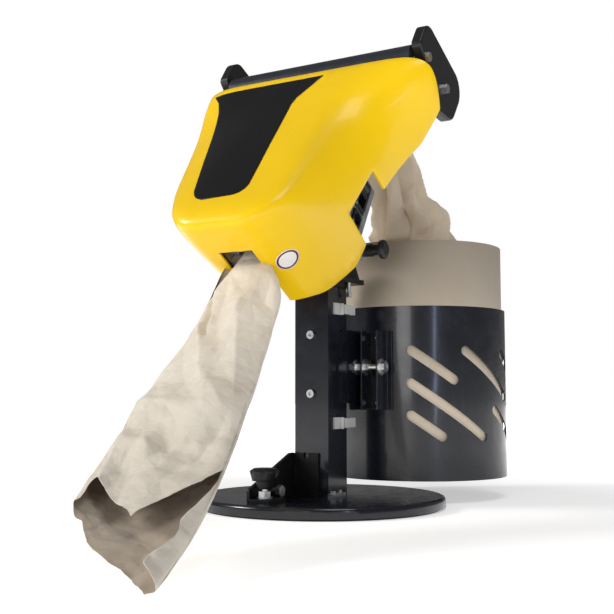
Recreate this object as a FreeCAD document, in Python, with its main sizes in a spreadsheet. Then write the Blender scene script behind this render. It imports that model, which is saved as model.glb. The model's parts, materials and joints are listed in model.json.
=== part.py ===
import FreeCAD, Part
import math
import os
import re

import Sketcher
from FreeCAD import Placement, Rotation, Vector

# Desk-top void-fill paper dispenser: a round base with a square post, a tiltable hooded feed head,
# and behind the post a slotted drum that holds an upright roll of paper.
# Millimetres. Origin at the centre of the base's underside, +Z up, paper comes out towards -Y.
# The head is drawn in its own frame: origin on the tilt pin, +X as the object's, "+Z" back along
# the paper's way in, and the label side at the lowest "Y".

SIZES = {
    # base and foot
    "base_radius": 195, "base_thick": 16, "base_fillet": 6, "pad_thick": 3, "pad_radius": 188,
    "base_top": 19,
    "gusset_thick": 5, "gusset_height": 66, "gusset_low": 18, "gusset_front": -158,
    "foot_knob_along": -15, "foot_knob_ahead": -140, "foot_knob_radius": 22.5, "foot_knob_base": 50,
    # post
    "post_half": 30, "post_wall": 3, "post_top": 346, "upper_bolt_level": 269,
    "lower_bolt_level": 177, "bolt_radius": 4,
    # drum bracket
    "bracket_low": 162, "bracket_high": 279, "bracket_thick": 3, "clamp_level": 220,
    "clamp_back": 61, "mount_front": 85, "mount_thick": 3,
    # drum and roll
    "drum_along": 60, "drum_back": 240, "drum_radius": 152, "drum_wall": 2, "drum_low": 36.6,
    "drum_high": 320, "roll_radius": 146.5, "roll_core": 62, "roll_top": 430,
    "slot_width": 16, "slot_rise": 34,
    # head and its tilt
    "pivot_back": 10, "pivot_level": 402, "head_tilt": -31, "pin_radius": 6,
    "running_gap": 0.05,
    # feed mechanism, in the head's frame
    "chassis_inner": 70, "chassis_thick": 3, "shaft_radius": 4, "bearing_radius": 11,
    "bearing_width": 7, "drive_back": -116, "press_back": -184, "nip_level": -75,
    "wheel_radius": 32.5, "wheel_width": 16, "gear_start": 55, "gear_width": 8,
    "gear_module": 2, "gear_teeth": 34, "motor_teeth": 30, "motor_ahead": 36,
    "motor_radius": 28, "gearbox_radius": 30, "plate_start": 48,
    # rollers and end caps, in the head's frame
    "cap_inner": 172, "cap_thick": 16, "front_roller_back": -158, "front_roller_level": 245,
    "front_roller_radius": 23, "rear_roller_back": -82, "rear_roller_level": 254,
    "rear_roller_radius": 16, "roller_half": 168, "roller_wall": 3, "axle_radius": 6,
    # hood, in the head's frame
    "hood_wall": 3, "hood_back": -15, "slot_half": 28, "slot_front": -202,
    # connector panel, in the head's frame
    "panel_start": 83, "panel_thick": 2, "inlet_back": -67, "inlet_level": 56,
    "socket_back": -65.5, "socket_level": 9,
}

doc = FreeCAD.newDocument("PaperDispenser")
sheet = doc.addObject("Spreadsheet::Sheet", "Sizes")
for row, (alias, value) in enumerate(SIZES.items(), start=1):
    sheet.set("A%d" % row, alias)
    sheet.set("B%d" % row, str(value))
    sheet.setAlias("B%d" % row, alias)
doc.recompute()

NODES = []
TURN = {"X": Rotation(Vector(0, 1, 0), 90), "Y": Rotation(Vector(1, 0, 0), -90), "Z": Rotation()}


def size(alias):
    return float(sheet.get(alias))


HEAD = Placement(Vector(0, size("pivot_back"), size("pivot_level")),
                 Rotation(Vector(1, 0, 0), size("head_tilt")))


def in_head(back, level, along=0):
    """A point of the head's frame, in the object's frame."""
    return HEAD.multVec(Vector(along, back, level))


# ---------------------------------------------------------------- helpers

def formula(text):
    """Write the sheet's name before each alias in a formula."""
    return re.sub(r"[a-z_]+", lambda word: "Sizes." + word[0] if word[0] in SIZES else word[0],
                  str(text))


def bind(obj, **formulas):
    for prop, text in formulas.items():
        obj.setExpression(prop.replace("__", "."), formula(text))
    return obj


def at(obj, corner):
    bind(obj, Placement__Base__x=corner[0], Placement__Base__y=corner[1],
         Placement__Base__z=corner[2])
    return obj


def box(name, low, high):
    """A block from one corner to the opposite one, each a formula."""
    obj = doc.addObject("Part::Box", name)
    sides = ["(%s)-(%s)" % (far, near) for near, far in zip(low, high)]
    bind(obj, Length=sides[0], Width=sides[1], Height=sides[2])
    return at(obj, low)


def rod(name, axis, radius, start, length):
    """A cylinder from start along +X, +Y or +Z."""
    obj = doc.addObject("Part::Cylinder", name)
    bind(obj, Radius=radius, Height=length)
    obj.Placement = Placement(Vector(), TURN[axis])
    return at(obj, start)


def cone(name, axis, radius_start, radius_end, start, length):
    obj = doc.addObject("Part::Cone", name)
    bind(obj, Radius1=radius_start, Radius2=radius_end, Height=length)
    obj.Placement = Placement(Vector(), TURN[axis])
    return at(obj, start)


def hexagon(name, axis, across_flats, start, length):
    """A six-sided bolt head or nut."""
    obj = doc.addObject("Part::Prism", name)
    obj.Polygon = 6
    bind(obj, Circumradius="%s/sqrt(3)" % across_flats, Height=length)
    obj.Placement = Placement(Vector(), TURN[axis])
    return at(obj, start)


def cut(name, base, *tools):
    obj = doc.addObject("Part::Cut", name)
    obj.Base = base
    obj.Tool = tools[0] if len(tools) == 1 else join(name + "_tools", *tools)
    return obj


def join(name, *pieces):
    obj = doc.addObject("Part::MultiFuse", name)
    obj.Shapes = list(pieces)
    return obj


def tube(name, axis, outer, inner, start, length):
    return cut(name, rod(name + "_outer", axis, outer, start, length),
               rod(name + "_bore", axis, inner, start, length))


def sub_part(label, *pieces, place=Placement()):
    """One named sub-part: a group of one or more solids, moved as one by place."""
    obj = doc.addObject("Part::Compound", label)
    obj.Links = list(pieces)
    obj.Label = label
    obj.Placement = place
    NODES.append(obj)
    return obj


def rounded(corners):
    """A closed outline: straight runs, with a tangent arc at each (across, up, radius) corner."""
    turns = []
    for index, (across, up, radius) in enumerate(corners):
        here = Vector(across, up, 0)
        before = Vector(*corners[index - 1][:2], 0) - here
        after = Vector(*corners[(index + 1) % len(corners)][:2], 0) - here
        before.normalize()
        after.normalize()
        if radius == 0:
            turns.append((here, None, here))
            continue
        half = before.getAngle(after) / 2
        inward = (before + after).normalize()
        centre = here + inward * (radius / math.sin(half))
        reach = radius / math.tan(half)
        turns.append((here + before * reach, centre - inward * radius, here + after * reach))
    edges = []
    for index, (start, middle, end) in enumerate(turns):
        if middle is not None:
            edges.append(Part.Arc(start, middle, end))
        following = turns[(index + 1) % len(turns)][0]
        if (following - end).Length > 1e-6:
            edges.append(Part.LineSegment(end, following))
    return edges


def plate(name, plane, curves, thickness, offset, holes=()):
    """A padded sketch on the body's YZ, XZ or XY plane, moved by offset; holes are (a, b, r)."""
    body = doc.addObject("PartDesign::Body", name)
    sketch = body.newObject("Sketcher::SketchObject", name + "_outline")
    origin_plane = [item for item in body.Origin.OriginFeatures if item.Role == plane + "_Plane"]
    sketch.AttachmentSupport = [(origin_plane[0], "")]
    sketch.MapMode = "FlatFace"
    for curve in curves:
        sketch.addGeometry(curve, False)
    for across, up, radius in holes:
        sketch.addGeometry(Part.Circle(Vector(across, up, 0), Vector(0, 0, 1), radius), False)
    pad = body.newObject("PartDesign::Pad", name + "_pad")
    pad.Profile = sketch
    bind(pad, Length=thickness)
    body.Placement = Placement(offset, Rotation())
    return body


def round_rims(name, body, radius, pick):
    """Fillet the edges of a body that pick chooses."""
    doc.recompute()
    feature = body.Tip
    names = ["Edge%d" % number for number, edge in enumerate(feature.Shape.Edges, start=1)
             if pick(edge)]
    fillet = body.newObject("PartDesign::Fillet", name)
    fillet.Base = (feature, names)
    bind(fillet, Radius=radius)
    return body


def in_plane(axis, value):
    """Test whether an edge lies in the plane where the given coordinate has the given value."""
    return lambda edge: all(abs(getattr(vertex.Point, axis) - value) < 1e-4
                            for vertex in edge.Vertexes)


# ---------------------------------------------------------------- base and foot

sub_part("base_pad", rod("base_pad_disc", "Z", "pad_radius", (0, 0, 0), "pad_thick"))

disc = plate("base_disc", "XY",
             [Part.Circle(Vector(), Vector(0, 0, 1), size("base_radius"))], "base_thick",
             Vector(0, 0, size("pad_thick")))
round_rims("base_top_fillet", disc, "base_fillet", in_plane("z", size("base_thick")))
sub_part("base_plate", disc)

base_top = size("base_top")
gusset_top = base_top + size("gusset_height")
gusset = plate("foot_gusset_web", "YZ", rounded([
    (-30, base_top, 0), (-30, gusset_top, 2), (-42, gusset_top, 8),
    (size("gusset_front"), base_top + size("gusset_low"), 4), (size("gusset_front"), base_top, 2)]),
    "gusset_thick", Vector(-35, 0, 0), holes=[(-95, base_top + 12, 5)])
flange = box("foot_gusset_flange", (-30, "gusset_front", "base_top"), (4, -112, "base_top+5"))
flange_hole = rod("foot_gusset_hole", "Z", 5, ("foot_knob_along", "foot_knob_ahead", "base_top-1"), 8)
sub_part("foot_gusset", join("foot_gusset_joined", gusset, cut("foot_flange", flange, flange_hole)))

front_plate = box("foot_front_plate_blank", (-26, -34, "base_top"), (14, -30, "base_top+66"))
front_plate_hole = rod("foot_front_plate_hole", "Y", 4.5, (-8, -35, 81), 6)
sub_part("foot_front_plate", cut("foot_front_plate_cut", front_plate, front_plate_hole))

knob_at = ("foot_knob_along", "foot_knob_ahead")
sub_part("foot_stud",
         rod("foot_stud_shank", "Z", 4.9, (*knob_at, "base_top-8"), "foot_knob_base-base_top+16"),
         tube("foot_stud_washer", "Z", 11.5, 5, (*knob_at, "base_top+5"), 2.5),
         cut("foot_stud_nut", hexagon("foot_stud_hex", "Z", 17, (*knob_at, "base_top+7.5"), 8),
             rod("foot_stud_nut_bore", "Z", 4.9, (*knob_at, "base_top+7"), 9)))

knob_lobes = [cone("foot_knob_disc", "Z", "foot_knob_radius-4", "foot_knob_radius",
                   (*knob_at, "foot_knob_base"), 14),
              cone("foot_knob_hub", "Z", 11, 13, (*knob_at, "foot_knob_base-12"), 12),
              cone("foot_knob_crown", "Z", "foot_knob_radius", "foot_knob_radius-6",
                   (*knob_at, "foot_knob_base+14"), 4)]
flutes = []
for step in range(6):
    turn = math.radians(60 * step)
    flutes.append(rod("foot_knob_flute_%d" % step, "Z", 6,
                      ("foot_knob_along+(foot_knob_radius+3)*%.6f" % math.cos(turn),
                       "foot_knob_ahead+(foot_knob_radius+3)*%.6f" % math.sin(turn),
                       "foot_knob_base-1"), 20))
stud_bore = rod("foot_knob_bore", "Z", "4.9+running_gap", (*knob_at, "foot_knob_base-13"), 22)
sub_part("foot_knob", cut("foot_knob_shape", join("foot_knob_body", *knob_lobes), *flutes, stud_bore))

sub_part("foot_bolts",
         rod("foot_pivot_bolt", "X", 5, (-35, -95, "base_top+12"), 14),
         hexagon("foot_pivot_head", "X", 16, (-42, -95, "base_top+12"), 7),
         hexagon("foot_pivot_nut", "X", 16, (-21, -95, "base_top+12"), 8),
         box("foot_strip", (31, -34, "base_top"), (41, 6, "base_top+5")),
         hexagon("foot_strip_bolt_front", "Z", 8, (36, -26, "base_top+5"), 4),
         hexagon("foot_strip_bolt_rear", "Z", 8, (36, -6, "base_top+5"), 4))

# ---------------------------------------------------------------- post

post_low, post_high = "base_top", "post_top"
post_outer = box("post_outer", ("-post_half", "-post_half", post_low),
                 ("post_half", "post_half", post_high))
post_inner = box("post_inner", ("post_wall-post_half", "post_wall-post_half", "base_top-1"),
                 ("post_half-post_wall", "post_half-post_wall", "post_top+1"))
bolt_bores = [rod("post_bore_" + level, "Y", "bolt_radius", (0, "-post_half-1", level),
                  "2*post_half+2") for level in ("upper_bolt_level", "lower_bolt_level")]
sub_part("post_tube", cut("post_square", post_outer, post_inner, *bolt_bores))

sub_part("post_cap_plate", box("post_cap", (-34, -34, "post_top"), (36, 34, "post_top+8")))
sub_part("swivel_plate", box("swivel", (-44, -12, "post_top+8"), (44, 66, "post_top+16")))

clip_levels = (311, 131)
sub_part("cable_clip_hinges", *[
    piece for level in clip_levels for piece in (
        box("clip_base_%d" % level, ("post_half", -14, level - 9), ("post_half+3", 6, level + 9)),
        rod("clip_barrel_%d" % level, "Z", 3.5, ("post_half+4.5", 6, level - 9), 18))])
sub_part("cable_clips", *[
    cut("clip_%d" % level,
        box("clip_body_%d" % level, ("post_half+0.5", 9.5, level - 7.5), ("post_half+9", 44, level + 7.5)),
        box("clip_space_%d" % level, ("post_half", 14, level - 8), ("post_half+5.5", 40, level + 8)))
    for level in clip_levels])

bolts = []
for level in ("upper_bolt_level", "lower_bolt_level"):
    bolts += [rod("bracket_shank_" + level, "Y", "bolt_radius", (0, "-post_half", level),
                  "2*post_half+bracket_thick+9"),
              cut("bracket_head_" + level,
                  rod("bracket_head_blank_" + level, "Y", 6.5, (0, "-post_half-5", level), 5),
                  hexagon("bracket_socket_" + level, "Y", 5, (0, "-post_half-6", level), 4)),
              cut("bracket_nut_" + level,
                  hexagon("bracket_nut_blank_" + level, "Y", 13,
                          (0, "post_half+bracket_thick", level), 6.5),
                  rod("bracket_nut_bore_" + level, "Y", "bolt_radius", (0, "post_half", level), 12))]
sub_part("bracket_bolts", *bolts)

# ---------------------------------------------------------------- drum bracket

web = box("bracket_web", ("-post_half-bracket_thick", "post_half", "bracket_low"),
          ("post_half+bracket_thick", "post_half+bracket_thick", "bracket_high"))
web_bores = [rod("web_bore_" + level, "Y", "bolt_radius", (0, "post_half-1", level), 6)
             for level in ("upper_bolt_level", "lower_bolt_level")]
clamp = size("clamp_level")
side_outline = [(10, size("bracket_low"), 3), (10, clamp - 13, 2), (-1, clamp - 10, 8),
                (-1, clamp + 10, 8), (10, clamp + 13, 2), (10, size("bracket_high"), 6),
                (84, size("bracket_high"), 8), (84, 151, 8), (40, 151, 4),
                (38, size("bracket_low"), 4)]
clamp_hole = [(size("clamp_back"), clamp, 5)]
sides = [plate("bracket_side_%s" % side, "YZ", rounded(side_outline), "bracket_thick",
               Vector(along, 0, 0), holes=clamp_hole)
         for side, along in (("right", size("post_half")),
                             ("left", -size("post_half") - size("bracket_thick")))]
sub_part("drum_bracket", join("drum_bracket_joined", cut("web_cut", web, *web_bores), *sides))

mount_back = "mount_front+mount_thick"
mount_plate = box("mount_plate", (38, "mount_front", 151), (84, mount_back, "bracket_high"))
ears = [cut("mount_ear_%d" % along, box("mount_ear_blank_%d" % along, (along, 50, 151),
                                       (along + 3, "mount_front", "bracket_high")),
            rod("mount_ear_hole_%d" % along, "X", 5, (along - 1, "clamp_back", "clamp_level"), 5))
        for along in (44, 72)]
lips = [box("mount_lip_%d" % level, (47, 70, level), (72, "mount_front", level + 3))
        for level in (151, 276)]
sub_part("drum_mount", join("drum_mount_joined", mount_plate, *ears, *lips))

sub_part("drum_clamp_bolt",
         rod("clamp_shank", "X", 4.9, (-33, "clamp_back", "clamp_level"), 118),
         hexagon("clamp_head", "X", 16, (-40, "clamp_back", "clamp_level"), 7),
         *[cut("clamp_nut_%d" % along,
               hexagon("clamp_nut_blank_%d" % along, "X", 17, (along, "clamp_back", "clamp_level"), 8),
               rod("clamp_nut_bore_%d" % along, "X", 4.9, (along - 1, "clamp_back", "clamp_level"), 10))
           for along in (35.5, 49.5, 77.5)],
         *[tube("clamp_washer_%d" % along, "X", 13.5, 5, (along, "clamp_back", "clamp_level"), 2.5)
           for along in (33, 47, 75)])

screw_levels = (268, 162)
sub_part("drum_screws", *[
    piece for level in screw_levels for piece in (
        rod("drum_screw_%d" % level, "Y", 2.5, ("drum_along", "mount_front-6", level), 14),
        hexagon("drum_screw_head_%d" % level, "Y", 8, ("drum_along", "mount_front-4", level), 4))])

# ---------------------------------------------------------------- drum and roll

# Slanted slots in groups of six round the drum, away from its bracket: (turn to the upper end, its
# level, turn that the slot spans), in degrees and millimetres.
DRUM_SLOTS = [(0, 248, 27), (0, 194, 49), (0, 142, 19), (35, 247, 42), (61, 150, 27), (72, 244, 17)]
FIRST_SLOT_TURN = -70
SLOT_GROUPS = 3


def slot_cutter(turn, level, span):
    """A slanted slot with round ends, following the drum wall."""
    radius = size("drum_radius")
    half_width = size("slot_width") / 2
    fall = radius * math.radians(span) * math.tan(math.radians(size("slot_rise")))
    steps = max(2, round(span / 6))
    beads = []
    for step in range(steps):
        ends = []
        for share in (step / steps, (step + 1) / steps):
            angle = math.radians(FIRST_SLOT_TURN + turn + span * share)
            ends.append((angle, level - fall * share))
        (angle, high), (next_angle, low) = ends
        middle = (angle + next_angle) / 2
        outward = Vector(math.cos(middle), math.sin(middle), 0)
        here = Vector(math.cos(angle) * radius, math.sin(angle) * radius, high)
        there = Vector(math.cos(next_angle) * radius, math.sin(next_angle) * radius, low)
        run = there - here
        bead = Part.makeBox(run.Length, 2 * half_width, 16)
        bead.Placement = Placement(
            Vector(), Rotation(run, outward.cross(run), outward, "XZY"))
        bead.translate(here - outward * 8 - bead.Placement.Rotation.multVec(
            Vector(0, half_width, 0)))
        beads.append(bead)
        for centre, turn_here in ((here, angle), (there, next_angle)):
            radial = Vector(math.cos(turn_here), math.sin(turn_here), 0)
            beads.append(Part.makeCylinder(half_width, 16, centre - radial * 8, radial))
    return beads[0].fuse(beads[1:])


cutters = []
for group in range(SLOT_GROUPS):
    for turn, level, span in DRUM_SLOTS:
        cutters.append(slot_cutter(90 * group + turn, level, span))
drum_centre = Vector(size("drum_along"), size("drum_back"), 0)
drum_low = Vector(0, 0, size("drum_low"))
drum_height = size("drum_high") - size("drum_low")
wall = Part.makeCylinder(size("drum_radius"), drum_height, drum_low).cut(
    Part.makeCylinder(size("drum_radius") - size("drum_wall"), drum_height, drum_low))
drum = doc.addObject("Part::Feature", "drum_wall")
drum.Shape = wall.cut(cutters)
sub_part("drum_shell", drum, place=Placement(drum_centre, Rotation()))

drum_at = ("drum_along", "drum_back")
sub_part("drum_floor", rod("drum_floor_disc", "Z", "drum_radius-drum_wall", (*drum_at, "drum_low"), 2))
roll_length = "roll_top-drum_low-2"
sub_part("paper_roll", tube("paper_roll_tube", "Z", "roll_radius", "roll_core",
                            (*drum_at, "drum_low+2"), roll_length))

# ---------------------------------------------------------------- tilt joint

yoke_profile = rounded([(-38, 362, 2), (38, 362, 2), (28, 393, 4), (-28, 393, 4)])
yoke = plate("yoke_body", "XZ", yoke_profile, 68, Vector(0, 62, 0))
sub_part("yoke_block", yoke)
ear_outline = [(-8, 393, 0), (30, 393, 0), (22, 416, 9), (-2, 416, 9)]
pivot_hole = [(size("pivot_back"), size("pivot_level"), size("pin_radius"))]
sub_part("tilt_ears", *[plate("tilt_ear_%s" % side, "YZ", rounded(ear_outline), 6,
                              Vector(along, 0, 0), holes=pivot_hole)
                        for side, along in (("right", 16), ("left", -22))])
pin_at = ("pivot_back", "pivot_level")
sub_part("tilt_pin", rod("tilt_pin_shank", "X", "pin_radius", (-76, *pin_at), 170),
         hexagon("tilt_pin_head", "X", 19, (-84, *pin_at), 8))
sub_part("lock_screw",
         rod("lock_screw_shank", "Z", 3, (40, 20, "post_top-8"), 16),
         hexagon("lock_screw_nut", "Z", 10, (40, 20, "post_top-15"), 7))
sub_part("tilt_knob", cut("tilt_knob_shape", join(
    "tilt_knob_body",
    rod("tilt_knob_collar", "X", 10, (74, *pin_at), 14),
    cone("tilt_knob_stem", "X", 9, 8, (88, *pin_at), 12),
    cone("tilt_knob_flare", "X", 8, 15, (100, *pin_at), 4),
    rod("tilt_knob_disc", "X", 15, (104, *pin_at), 5),
    cone("tilt_knob_dome", "X", 15, 10, (109, *pin_at), 3)),
    rod("tilt_knob_bore", "X", "pin_radius+running_gap", (73, *pin_at), 22)))

# ---------------------------------------------------------------- head frame

chassis_outline = [(13, -9, 8), (7, 14, 8), (-40, -10, 8), (-116, -10, 6), (-116, 90, 6),
                   (-82, 100, 6), (-82, 118, 8), (-190, 118, 10), (-205, 60, 20),
                   (-222, -60, 20), (-205, -98, 15), (-78, -98, 20), (-48, -62, 12)]
bearing_seats = [(size(back), size("nip_level"), size("bearing_radius"))
                 for back in ("drive_back", "press_back")]
pin_bore = [(0, 0, size("pin_radius") + size("running_gap"))]
RODS = [(-95, 108), (-62, -66), (-183, 103), (-207, -20)]
rod_radius = 5
rod_seats = [(back, level, rod_radius) for back, level in RODS]
for side, along in (("left", -size("chassis_inner") - size("chassis_thick")),
                    ("right", size("chassis_inner"))):
    sub_part("chassis_" + side,
             plate("chassis_%s_plate" % side, "YZ", rounded(chassis_outline), "chassis_thick",
                   Vector(along, 0, 0), holes=bearing_seats + pin_bore + rod_seats),
             place=HEAD)

sub_part("spacer_rods", *[
    rod("spacer_rod_%d" % number, "X", rod_radius, ("-chassis_inner-6", back, level),
        "2*chassis_inner+12")
    for number, (back, level) in enumerate(RODS)], place=HEAD)

funnel_outline = [(73, 62, 0), (75.5, 62, 0), (172, 205, 6), (172, 216, 1), (169.5, 216, 1),
                  (169.5, 206, 4), (73, 66, 0)]
for side, sense in (("left", -1), ("right", 1)):
    outline = [(sense * across, up, radius) for across, up, radius in funnel_outline]
    sub_part("funnel_" + side,
             plate("funnel_%s_plate" % side, "XZ", rounded(outline), 56, Vector(0, -104, 0)),
             place=HEAD)
sub_part("guide_plate", box("guide_sheet", (-69.5, -176, -20), (69.5, -174.5, 118)), place=HEAD)

# ---------------------------------------------------------------- feed mechanism

def gear(name, back, level, teeth, phase, bore):
    """A spur gear in the head's YZ plane; phase is the angle of one tooth's middle, degrees."""
    pitch_radius = size("gear_module") * teeth / 2
    tip = pitch_radius + 0.8 * size("gear_module")
    root = pitch_radius - 1.25 * size("gear_module")
    step = 360 / teeth
    points = []
    for tooth in range(teeth):
        for share, radius in ((-0.27, root), (-0.10, tip), (0.10, tip), (0.27, root)):
            angle = math.radians(phase + step * (tooth + share))
            points.append(Vector(back + radius * math.cos(angle), level + radius * math.sin(angle), 0))
    runs = [Part.LineSegment(start, end) for start, end in zip(points, points[1:] + points[:1])]
    return plate(name, "YZ", runs, "gear_width", Vector(size("gear_start"), 0, 0),
                 holes=[(back, level, bore)])


def in_mesh(angle, driver_teeth, driver_phase, teeth):
    """Phase that puts a gap opposite the driver's teeth, where the driver sees it at angle."""
    share = ((angle - driver_phase) * driver_teeth / 360) % 1
    return angle + 180 + (share + 0.5) * 360 / teeth


drive = (size("drive_back"), size("nip_level"))
press = (size("press_back"), size("nip_level"))
centre_distance = size("gear_module") * (size("gear_teeth") + size("motor_teeth")) / 2
motor_rise = math.sqrt(centre_distance ** 2 - size("motor_ahead") ** 2)
motor = (drive[0] + size("motor_ahead"), drive[1] + motor_rise)
motor_angle = math.degrees(math.atan2(motor_rise, size("motor_ahead")))
teeth = int(size("gear_teeth"))
motor_teeth = int(size("motor_teeth"))
shaft_radius = size("shaft_radius")
output_radius = 5

sub_part("drive_gear", gear("drive_gear_wheel", *drive, teeth, 0, shaft_radius), place=HEAD)
sub_part("press_gear", gear("press_gear_wheel", *press, teeth, in_mesh(180, teeth, 0, teeth),
                            shaft_radius), place=HEAD)
motor_wheel = gear("motor_wheel", *motor, motor_teeth,
                   in_mesh(motor_angle, teeth, 0, motor_teeth), output_radius)
sub_part("motor_gear", motor_wheel, place=HEAD)
sub_part("output_shaft", rod("output_shaft_rod", "X", output_radius,
                             ("plate_start-8", motor[0], motor[1]), "gear_start+gear_width-plate_start+10"),
         place=HEAD)

for name, back in (("drive", "drive_back"), ("press", "press_back")):
    sub_part(name + "_shaft", rod(name + "_shaft_rod", "X", "shaft_radius",
                                  ("-chassis_inner-chassis_thick-2", back, "nip_level"),
                                  "2*(chassis_inner+chassis_thick)+4"), place=HEAD)
    sub_part(name + "_wheels", *[
        tube("%s_wheel_%s" % (name, side), "X", "wheel_radius", "shaft_radius",
             (start, back, "nip_level"), "wheel_width")
        for side, start in (("left", "-10-wheel_width"), ("right", 10))], place=HEAD)

sub_part("bearings", *[
    tube("bearing_%s_%s" % (back, side), "X", "bearing_radius", "shaft_radius+running_gap",
         (start, back, "nip_level"), "bearing_width")
    for back in ("drive_back", "press_back")
    for side, start in (("left", "-chassis_inner-chassis_thick"),
                        ("right", "chassis_inner+chassis_thick-bearing_width"))], place=HEAD)

motor_at = (motor[0], motor[1])
sub_part("motor", join("motor_joined", rod("motor_can", "X", "motor_radius", (-60, *motor_at), 70),
                       rod("motor_boss", "X", 10, (-65, *motor_at), 5)), place=HEAD)
sub_part("gearbox", cut("gearbox_bored",
                        rod("gearbox_can", "X", "gearbox_radius", (10, *motor_at), "plate_start-10"),
                        rod("gearbox_bore", "X", output_radius + 0.05, (39, *motor_at), 10)), place=HEAD)
motor_plate_outline = [(-46, -72, 8), (-46, 14, 10), (-84, 116, 6), (-106, 116, 6), (-114, 14, 14),
                       (-112, -34, 10), (-80, -72, 12)]
sub_part("motor_plate",
         plate("motor_plate_sheet", "YZ", rounded(motor_plate_outline), 3,
               Vector(size("plate_start"), 0, 0),
               holes=[(*motor_at, 8), (*RODS[0], rod_radius), (*RODS[1], rod_radius)]),
         place=HEAD)
sub_part("circuit_board",
         box("board", (28, -108, 22), (29.6, -50, 88)),
         *[rod("board_spacer_%d_%d" % (back, level), "X", 3, (29.6, back, level), "plate_start-29.6")
           for back, level in ((-100, 30), (-62, 30), (-100, 76), (-80, 76))],
         box("board_relay", (16, -80, 40), (28, -60, 64)),
         box("board_capacitor", (18, -102, 50), (28, -88, 70)), place=HEAD)

# ---------------------------------------------------------------- rollers and end caps

cap_outline = [(-150, 198, 8), (-150, 236, 8), (-187, 247, 10), (-184, 300, 24), (-21, 317, 34),
               (-30, 230, 30), (-96, 198, 12)]
ROLLERS = {"front": ("front_roller_back", "front_roller_level", "front_roller_radius"),
           "rear": ("rear_roller_back", "rear_roller_level", "rear_roller_radius")}
cap_holes = [(size(back), size(level), shaft_radius) for back, level, _ in ROLLERS.values()]
for side, along in (("left", -size("cap_inner") - size("cap_thick")), ("right", size("cap_inner"))):
    cap = plate("end_cap_%s_body" % side, "YZ", rounded(cap_outline), "cap_thick",
                Vector(along, 0, 0), holes=cap_holes)
    outer_face = 0 if side == "left" else size("cap_thick")
    round_rims("end_cap_%s_fillet" % side, cap, 3.5,
               lambda edge: in_plane("x", outer_face)(edge) and edge.Length > 30)
    sub_part("end_cap_" + side, cap, place=HEAD)

for name, (back, level, radius) in ROLLERS.items():
    shell = tube(name + "_roller_shell", "X", radius, radius + "-roller_wall",
                 ("-roller_half", back, level), "2*roller_half")
    ends = [tube("%s_roller_end_%s" % (name, side), "X", radius + "-roller_wall",
                 "axle_radius+running_gap", (start, back, level), 12)
            for side, start in (("left", "-roller_half"), ("right", "roller_half-12"))]
    sub_part(name + "_roller", join(name + "_roller_joined", shell, *ends), place=HEAD)
    sub_part(name + "_axle", tube(name + "_axle_tube", "X", "axle_radius", shaft_radius,
                                  ("-cap_inner", back, level), "2*cap_inner"), place=HEAD)

cap_bolts = []
for name, (back, level, _) in ROLLERS.items():
    for side, shank_start, head_start in (("left", "-cap_inner-cap_thick", "-cap_inner-cap_thick-6"),
                                          ("right", "cap_inner-14", "cap_inner+cap_thick")):
        cap_bolts += [rod("cap_bolt_%s_%s" % (name, side), "X", shaft_radius,
                          (shank_start, back, level), "cap_thick+14"),
                      hexagon("cap_bolt_head_%s_%s" % (name, side), "X", 13,
                              (head_start, back, level), 6)]
sub_part("cap_bolts", *cap_bolts, place=HEAD)

# ---------------------------------------------------------------- hood

# Control rows of the hood's skin, from the exit face up to the rollers: level, front, then for the
# left and the right half the crease, shoulder and flank, and the half-width at the open back. The
# right half falls back sooner from its crease than the left.
HOOD_ROWS = [
    (-153, -246, (40, (46, -236), (40, -170), 22), (38, (40, -234), (36, -170), 28)),
    (-153, -262, (54, (66, -250), (58, -170), 40), (54, (58, -246), (48, -168), 38)),
    (-128, -264, (80, (99, -250), (90, -170), 58), (82, (92, -238), (76, -160), 58)),
    (-90, -254, (90, (130, -238), (114, -160), 70), (92, (104, -220), (96, -148), 78)),
    (-45, -243, (93, (160, -225), (138, -150), 84), (92, (110, -200), (110, -136), 96)),
    (10, -230, (92, (180, -212), (156, -140), 98), (88, (114, -182), (123, -125), 110)),
    (60, -218, (90, (197, -200), (172, -135), 118), (84, (120, -168), (137, -118), 126)),
    (110, -206, (88, (210, -191), (188, -130), 144), (82, (132, -158), (156, -112), 150)),
    (160, -195, (90, (221, -186), (204, -130), 178), (88, (166, -160), (188, -112), 184)),
    (200, -188, (112, (227, -186), (214, -130), 203), (112, (210, -178), (210, -118), 206)),
    (240, -180, (118, (227, -182), (216, -130), 212), (118, (224, -180), (214, -124), 213)),
]


def uniform_knots(poles, degree):
    """Knots and multiplicities of a clamped uniform B-spline."""
    spans = poles - degree
    return list(range(spans + 1)), [degree + 1] + [1] * (spans - 1) + [degree + 1]


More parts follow.
